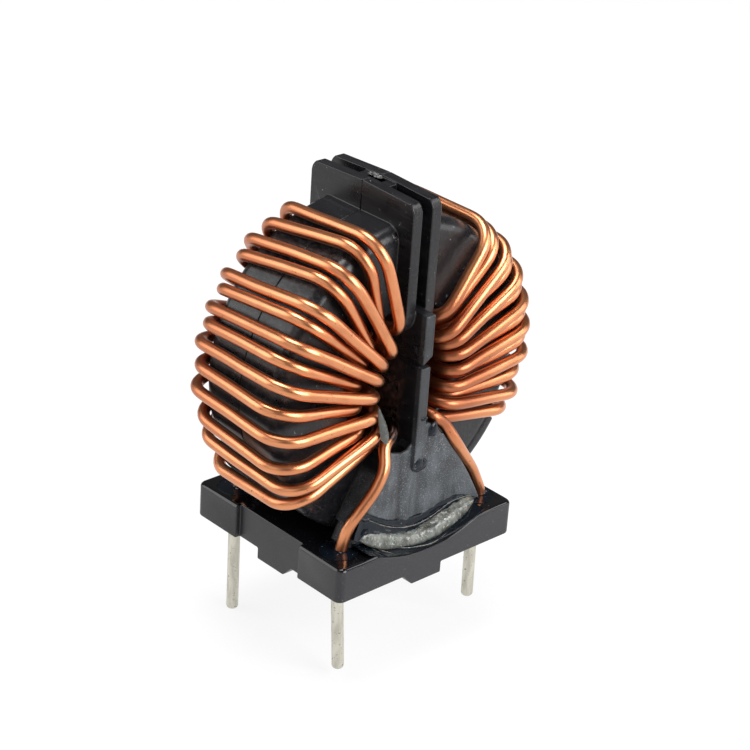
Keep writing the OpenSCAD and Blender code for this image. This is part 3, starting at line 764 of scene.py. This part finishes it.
def flake():
    """Thin shard of cured varnish that stands beside the left lead: its spine runs through given points,
    and its half width follows given values; it is 0.1 mm thick and dished by 0.25 of its width."""
    t = np.linspace(0, 1, 30)[:, None]
    w = np.linspace(-1, 1, 12)
    knots = [0, 0.35, 0.75, 1]
    spine = [np.interp(t, knots, k) for k in ([-5.9, -5.35, -4.85, -4.7], [20.15, 18.6, 16.9, 16.0])]
    half = np.interp(t, [0, 0.15, 0.5, 0.85, 1], [0.04, 0.22, 0.45, 0.52, 0.2])
    x, z = spine[0] + half * w, spine[1] + 0.22 * half * w
    y = -8.95 + 0.5 * half * w ** 2 + 0.35 * (1 - t) + 0.02 * lumps(x * 3, z * 3, 71)
    front, back = np.stack([x, y - 0.05, z], -1), np.stack([x, y + 0.05, z], -1)
    return closed(front, back, turned=True)


def bead(side, seed):
    """Bead of adhesive in the trough against the spacer. Across it, w from 0 to 90 degrees, a point's radius
    is foot - height cos(w)^0.75 and its distance out is width sin(w)^0.75, both swollen by lumps. Height,
    width and foot follow given values along the arc. The section is closed through the corner it fills."""
    angle = np.linspace(242.0, 299.0, 150)
    foot = np.interp(angle, [242, 247, 252, 258], [16.6, 16.9, 17.1, TROUGH_R - 0.03])
    height = foot - np.interp(angle, BEAD_AT, BEAD_TOP)
    width = np.interp(angle, [242, 242.5, 243.4, 245, 248, 254, 262, 268, 274, 280, 286, 291, 295, 298, 299],
                      [0.12, 0.5, 0.72, 0.88, 0.95, 1.05, 1.25, 1.5, 1.65, 1.7, 1.6, 1.45, 1.25, 0.8, 0.15])
    w = np.radians(np.linspace(0, 90, 18))
    along = angle[:, None]
    swell = 1 + 0.06 * lumps(along / 2.2, w * 1.5, seed) + 0.03 * lumps(along * 1.1, w * 5, seed + 1)
    r = foot[:, None] - height[:, None] * np.cos(w) ** 0.75 * swell
    y = BEAD_OUT + width[:, None] * np.sin(w) ** 0.75 * swell
    r = np.concatenate([r, foot[:, None] * np.ones(3), r[:, :1] * 0.5 + foot[:, None] * 0.5], 1)
    y = np.concatenate([y, BEAD_OUT + width[:, None] * [0.66, 0.33, 0], BEAD_OUT + 0 * foot[:, None]], 1)
    points = on_face(r, along, side * y)
    points[..., 2] += RING_Z
    faces = capped(*r.shape)
    return points.reshape(-1, 3), faces if side < 0 else [f[::-1] for f in faces]


def fillet(side):
    """Varnish drawn up the spacer above the bead: from its upper edge, t from 0 to 1, it thickens as
    0.29 + 0.42 t^1.6 and carries a thin line, 0.12 mm high, near its middle."""
    angle = np.linspace(239.0, 301.5, 130)[:, None]
    t = np.linspace(0, 1, 50)
    upper = np.interp(angle, [239, 246, 255, 264, 273, 283, 291, 296, 298.5, 301.5],
                      [13.65, 13.94, 14.3, 14.65, 14.84, 14.64, 15.0, 16.0, 16.75, 18.3])
    upper = upper + 0.06 * lumps(angle * 1.5, 0, 21)
    bottom = np.interp(angle, BEAD_AT + [301.5], [r + 0.25 for r in BEAD_TOP] + [18.55])
    line = np.interp(angle, [245, 255, 262, 272, 281, 290, 300], [0.25, 0.4, 0.5, 0.66, 0.7, 0.5, 0.45])
    line = line + 0.03 * lumps(angle, 0, 22)
    r = upper + (bottom - upper) * t
    haze_and_shade = 0.29 + 0.42 * t ** 1.6 + 0.12 * np.exp(-((t - line) / 0.05) ** 2)
    haze_and_shade = haze_and_shade + 0.02 * lumps(angle / 2, t * 8, 23)
    haze_and_shade = haze_and_shade * np.clip(t / 0.06, 0.6, 1) * np.clip((300.5 - angle) / 5, 0.45, 1)
    front = on_face(r, angle, side * (FAN_OUT + haze_and_shade))
    back = on_face(r, angle, side * (FAN_OUT - 0.2))
    return closed(front, back, turned=side < 0, lift=RING_Z)


def threads(side):
    """Thin cords of cured varnish, one along the fillet above the bead and three in the trough below it:
    round bars of listed radius through listed points, given as angle, radius and distance out."""
    inside = TROUGH_R - 0.05
    cords = [
        (0.045, [(243, 14.35, 8.86), (247, 14.5, 8.9), (253, 14.85, 8.93), (261, 15.25, 8.95),
                 (267, 15.5, 9.0), (273, 15.56, 9.02), (281, 15.4, 8.98), (289, 15.35, 8.93),
                 (295, 16.0, 8.88), (299, 17.1, 8.75)]),
        (0.05, [(251.5, inside, 8.55), (255, inside, 8.75), (258.5, inside, 9.3), (263.4, inside, 9.95),
                (269, inside, 10.5), (272.8, inside, 10.8), (277, inside, 10.62), (281, inside, 10.5)]),
        (0.04, [(250.5, inside, 8.5), (249.6, inside, 9.0), (249.8, inside, 9.7), (250.4, inside, 10.4)]),
        (0.035, [(252.5, inside, 8.7), (252.2, inside, 9.3), (253.5, inside, 10.0), (256, inside, 10.7)]),
    ]
    parts = []
    for haze_and_shade, knots in cords:
        knots = np.array(knots)
        t = np.linspace(0, len(knots) - 1, 14 * len(knots))
        angle, r, out = (np.interp(t, np.arange(len(knots)), knots[:, i]) for i in range(3))
        mean = np.ones(19) / 19
        angle, r, out = (np.convolve(np.pad(v, 9, "edge"), mean, "valid") for v in (angle, r, out))
        path = on_face(r, angle + 0.25 * lumps(t * 2, 0, 81), side * (out + 0.04 * lumps(t * 1.5, 0, 82)))
        ends = np.sqrt(np.clip(np.minimum(t, t[-1] - t) / 0.5, 0.05, 1))
        radius = haze_and_shade * (1 + 0.4 * lumps(t * 3, 0, 83)) * ends
        points, faces = tube(path, radius, 8)
        points[:, 2] += RING_Z
        parts.append((points, faces))
    return parts


def film(side):
    """Skin of varnish in the trough between the bead and the base's edge, with raised wrinkles that follow
    given lines; its height over the trough is 0.03 plus a bell of 0.06 to 0.12 across each wrinkle."""
    angle = np.linspace(241.5, 297.0, 150)[:, None]
    out = np.linspace(FAN_OUT + 0.02, FILM_OUT, 60)
    wrinkle = np.interp(angle, [250, 256, 262, 268, 277, 286, 297], [8.2, 8.6, 9.6, 10.3, 10.7, 10.95, 11.3])
    rise = 0.12 * np.exp(-((out - wrinkle) / 0.07) ** 2)
    rise = rise + 0.06 * np.exp(-((out - wrinkle - 0.42) / 0.06) ** 2)
    for start, lean in ((243.2, 0.5), (245.0, 1.0), (247.2, 1.4)):
        rise = rise + 0.09 * np.exp(-((angle - start - lean * (out - 8.4)) / 0.35) ** 2)
    r = TROUGH_R - 0.03 - rise - 0.015 * lumps(angle / 2, out * 2, 31)
    top, low = on_face(r, angle, side * out), on_face(TROUGH_R + 0.01 + 0 * r, angle, side * out)
    return closed(top, low, turned=side > 0, lift=RING_Z)


def pool(x, y, entry):
    """Varnish that fills a lead's funnel and creeps up the wire: at a distance d from the wire's skin the
    level is 0.02 + 0.12 exp(-d / 0.12) above the base."""
    turn = np.linspace(0, 2 * math.pi, 40, endpoint=False)
    u = np.linspace(0, 1, 14)[:, None]
    inner = np.stack([entry + POOL_IN * np.cos(turn), y + POOL_IN * np.sin(turn)], -1)
    outer = np.stack([x + POOL_R * np.cos(turn), y + POOL_R * np.sin(turn)], -1)
    flat = inner + (outer - inner) * u[..., None] ** 1.6
    d = np.maximum(np.hypot(flat[..., 0] - entry, flat[..., 1] - y) - WIRE_R, -0.12)
    top = np.concatenate([flat, (BASE_TOP + 0.02 + 0.12 * np.exp(-d / 0.12))[..., None]], -1)
    low = np.concatenate([flat, np.full(flat.shape[:2] + (1,), BASE_TOP - 0.02)], -1)
    return closed(top, low, wrap=True, turned=True)


def drop(x, y, z, wide, tall, haze_and_shade, seed):
    """Flat drop of varnish on a face that looks to the front: thick (1 - d^2)^0.6 inside a wobbly oval."""
    turn = np.linspace(0, 2 * math.pi, 28, endpoint=False)
    u = np.linspace(0.02, 1, 9)[:, None]
    edge = 1 + 0.22 * lumps(3 * np.cos(turn), 3 * np.sin(turn), seed)
    out = haze_and_shade * (1 - u ** 2) ** 0.6 + 0 * turn
    across, up = wide * u * edge * np.cos(turn), tall * u * edge * np.sin(turn)
    top = np.stack([x + across, y - out - 0.004, z + up], -1)
    low = top * [1, 0, 1] + [0, y + 0.01, 0]
    return closed(top, low, wrap=True)


def witness_ring():
    """Ejector pin's mark on the upper tongue: a bead 0.1 mm wide and 0.035 mm proud on a circle of the mark's
    radius, half sunk."""
    turn, w = np.meshgrid(np.linspace(0, 2 * math.pi, 40, endpoint=False),
                          np.linspace(0, 2 * math.pi, 8, endpoint=False), indexing="ij")
    r = MARK_R + 0.05 * np.cos(w)
    y, z = MARK_Y + r * np.cos(turn), MARK_Z + r * np.sin(turn)
    points = np.stack([-TONGUE_X - 0.035 * np.sin(w), y, z], -1)
    faces = grid_faces(41, 8, wrap=True) % (40 * 8)
    return points.reshape(-1, 3), faces


def gate_scar():
    """Crumbly patch on the bridge beside the right fin: height 0.22 (1 - d^2)^0.5 with sharp lumps, at most
    0.26, in an oval."""
    turn = np.linspace(0, 2 * math.pi, 48, endpoint=False)
    u = np.linspace(0.02, 1, 24)[:, None]
    edge = 1 + 0.2 * lumps(4 * np.cos(turn), 4 * np.sin(turn), 41)
    x, y = SCAR_X + 0.34 * u * edge * np.cos(turn), SCAR_Y + 1.0 * u * edge * np.sin(turn)
    up = 0.22 * np.sqrt(1 - u ** 2) * (1 + 0.5 * lumps(x * 9, y * 9, 42)) + 0 * turn
    top = np.stack([x, y, BRIDGE_TOP + np.clip(up, 0, 0.26)], -1)
    low = top * [1, 1, 0] + [0, 0, BRIDGE_TOP - 0.02]
    return closed(top, low, wrap=True, turned=True)


# ---------------------------------------------------------------- operators


# metres: lamps by name, power in watts, side and place; the point they face; half the floor's side
LAMPS = [("front", 2.6, 0.30, (0.08, -0.42, 0.24)), ("overhead", 2.2, 0.26, (-0.02, 0.03, 0.50)),
         ("side", 0.3, 0.30, (-0.42, -0.10, 0.20)), ("kicker", 0.35, 0.16, (0.31, -0.24, 0.31)),
         ("back", 1.0, 0.34, (-0.32, 0.27, 0.20)), ("wall", 0.35, 0.20, (0.37, -0.25, 0.10))]
LIT = (0, 0, 0.02)
FLOOR = 4
# the camera's aim in metres, its axes to the right, up and back, and its lens shift
AIM = (0, 0, 0.01325)
CAMERA_AXES = [(0.7408, -0.6691, 0.0592), (0.2716, 0.3790, 0.8846), (-0.6143, -0.6393, 0.4625)]
CAMERA_SHIFT = (0.0197, 0.0612)


class CHOKE_OT_windings(Operator):
    """Lay both windings, each one wire from pin to pin"""
    bl_idname = "choke.windings"
    bl_label = "Windings"

    def execute(self, context):
        settings = context.scene.choke_windings
        materials = [enamelled_copper(settings.enamel, settings.stain_and_shade), dipped_solder(settings.solder)]
        winding("wire_left", "winding_left", LEFT, False, settings, materials)
        winding("wire_right", "winding_right", RIGHT, True, settings, materials)
        return {"FINISHED"}


class CHOKE_OT_case(Operator):
    """Finish the case halves and the core, and add the marks that moulding left on the case"""
    bl_idname = "choke.case"
    bl_label = "Case and core"

    def execute(self, context):
        settings = context.scene.choke_case
        plastic = moulded_case(settings.plastic, settings.haze)
        eased("shell_front", "case_front", plastic, settings.edge, 35)
        eased("shell_back", "case_back", plastic, settings.edge, 35)
        for name, side in (("spacer_front", -1), ("spacer_back", 1)):
            piece(name, spacer(side), [plastic])
        piece("witness_ring", witness_ring(), [plastic])
        piece("gate_scar", gate_scar(), [torn_plastic(settings.scar)])
        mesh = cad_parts["core"].data
        mesh.materials.clear()
        mesh.materials.append(sintered_ferrite(settings.ferrite))
        return {"FINISHED"}


class CHOKE_OT_base(Operator):
    """Finish the moulded base"""
    bl_idname = "choke.base"
    bl_label = "Base"

    def execute(self, context):
        settings = context.scene.choke_base
        eased("moulded_base", "base", varnished_base(settings.plastic), settings.edge, 35)
        return {"FINISHED"}


class CHOKE_OT_glue(Operator):
    """Bed the case in the base with two beads of adhesive, and flood the trough and the leads with varnish"""
    bl_idname = "choke.glue"
    bl_label = "Adhesive and varnish"

    def execute(self, context):
        settings = context.scene.choke_glue
        cured = cured_adhesive(settings.tint)
        beads = [("bead_front", "glue_front", -1, 11), ("bead_back", "glue_back", 1, 15)]
        for name, node, side, seed in beads:
            piece(name, bead(side, seed), [cured], [node])
        leads = [(sx * PIN_X, sy * PIN_Y, sx * how["entry"])
                 for sx, how in ((-1, LEFT), (1, RIGHT)) for sy in (-1, 1)]
        piece("varnish_threads", joined([*threads(-1), *threads(1)]), [cured])
        piece("varnish_shard", flake(), [cured])
        # on the spacer and tongues in front: place, half width, half height, thickness
        drops = [(0.42, -FAN_OUT - 0.25, 11.75, 1.0, 0.62, 0.22),
                 (2.0, -FAN_OUT - 0.12, 15.35, 0.62, 0.75, 0.3),
                 (0.1, -TONGUE_OUT, 17.3, 0.45, 0.22, 0.14),
                 (-0.15, -TONGUE_OUT, 12.38, 0.58, 0.62, 0.13)]
        parts = [fillet(-1), fillet(1), film(-1), film(1), *(pool(*at) for at in leads),
                 *(drop(*one, seed) for seed, one in enumerate(drops, 50))]
        piece("varnish", joined(parts), [wet_varnish(settings.varnish)])
        return {"FINISHED"}


class CHOKE_OT_stage(Operator):
    """Lay the floor and set the lights and the camera"""
    bl_idname = "choke.stage"
    bl_label = "Stage"

    def execute(self, context):
        scene = context.scene
        settings = scene.choke_stage
        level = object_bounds()[0].z
        mesh = bpy.data.meshes.new("floor")
        corners = [(FLOOR * x, FLOOR * y, level) for x, y in ((-1, -1), (1, -1), (1, 1), (-1, 1))]
        mesh.from_pydata(corners, [], [(0, 1, 2, 3)])
        floor = bpy.data.objects.new("floor", mesh)
        mesh.materials.append(white_sweep())
        scene.collection.objects.link(floor)
        floor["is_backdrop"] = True

        for name, power, size, at in LAMPS:
            lamp = bpy.data.lights.new(name, "AREA")
            lamp.energy, lamp.size = power, size
            holder = bpy.data.objects.new(name, lamp)
            holder.location = at
            towards = Vector(LIT) - holder.location
            holder.rotation_euler = towards.to_track_quat("-Z", "Y").to_euler()
            scene.collection.objects.link(holder)

        world = bpy.data.worlds.new("studio")
        world.use_nodes = True
        world.node_tree.nodes.clear()
        grey = add(world.node_tree, "Background", {"Color": linear("#FFFFFF"), "Strength": 0.12})
        add(world.node_tree, "OutputWorld", {"Surface": grey})
        scene.world = world

        turned = Matrix([Vector(axis).normalized() for axis in CAMERA_AXES]).transposed()
        camera = bpy.data.cameras.new("camera")
        camera.lens, camera.sensor_width = settings.lens, 36
        camera.shift_x, camera.shift_y = CAMERA_SHIFT
        camera.clip_start, camera.clip_end = 0.01, 20
        holder = bpy.data.objects.new("camera", camera)
        place = Vector(AIM) + turned.col[2] * settings.distance
        holder.matrix_world = Matrix.Translation(place) @ turned.to_4x4()
        scene.collection.objects.link(holder)
        scene.camera = holder

        scene.view_settings.view_transform = "Standard"
        return {"FINISHED"}


class CHOKE_PT_panel(Panel):
    """Sidebar panel that lists the steps in their order, with their settings"""
    bl_label = "Choke"
    bl_space_type = "VIEW_3D"
    bl_region_type = "UI"
    bl_category = "Choke"

    def draw(self, context):
        for title, group, operator in STEPS:
            box = self.layout.box()
            box.label(text=title)
            settings = getattr(context.scene, group)
            for name in settings.bl_rna.properties.keys():
                if name not in {"rna_type", "name"}:
                    box.prop(settings, name)
            box.operator(operator)


STEPS = [
    ("Windings", "choke_windings", "choke.windings"),
    ("Case and core", "choke_case", "choke.case"),
    ("Base", "choke_base", "choke.base"),
    ("Adhesive", "choke_glue", "choke.glue"),
    ("Stage", "choke_stage", "choke.stage"),
]
GROUPS = {
    "choke_windings": WindingSettings, "choke_case": CaseSettings, "choke_base": BaseSettings,
    "choke_glue": GlueSettings, "choke_stage": StageSettings,
}
CLASSES = [*GROUPS.values(), CHOKE_OT_windings, CHOKE_OT_case, CHOKE_OT_base, CHOKE_OT_glue, CHOKE_OT_stage,
           CHOKE_PT_panel]


def register():
    for c in CLASSES:
        bpy.utils.register_class(c)
    for name, group in GROUPS.items():
        setattr(bpy.types.Scene, name, PointerProperty(type=group))


def unregister():
    for name in GROUPS:
        delattr(bpy.types.Scene, name)
    for c in reversed(CLASSES):
        bpy.utils.unregister_class(c)


def main():
    register()
    bpy.ops.choke.windings()
    bpy.ops.choke.case()
    bpy.ops.choke.base()
    bpy.ops.choke.glue()
    bpy.ops.choke.stage()


if __name__ == "__main__":
    main()
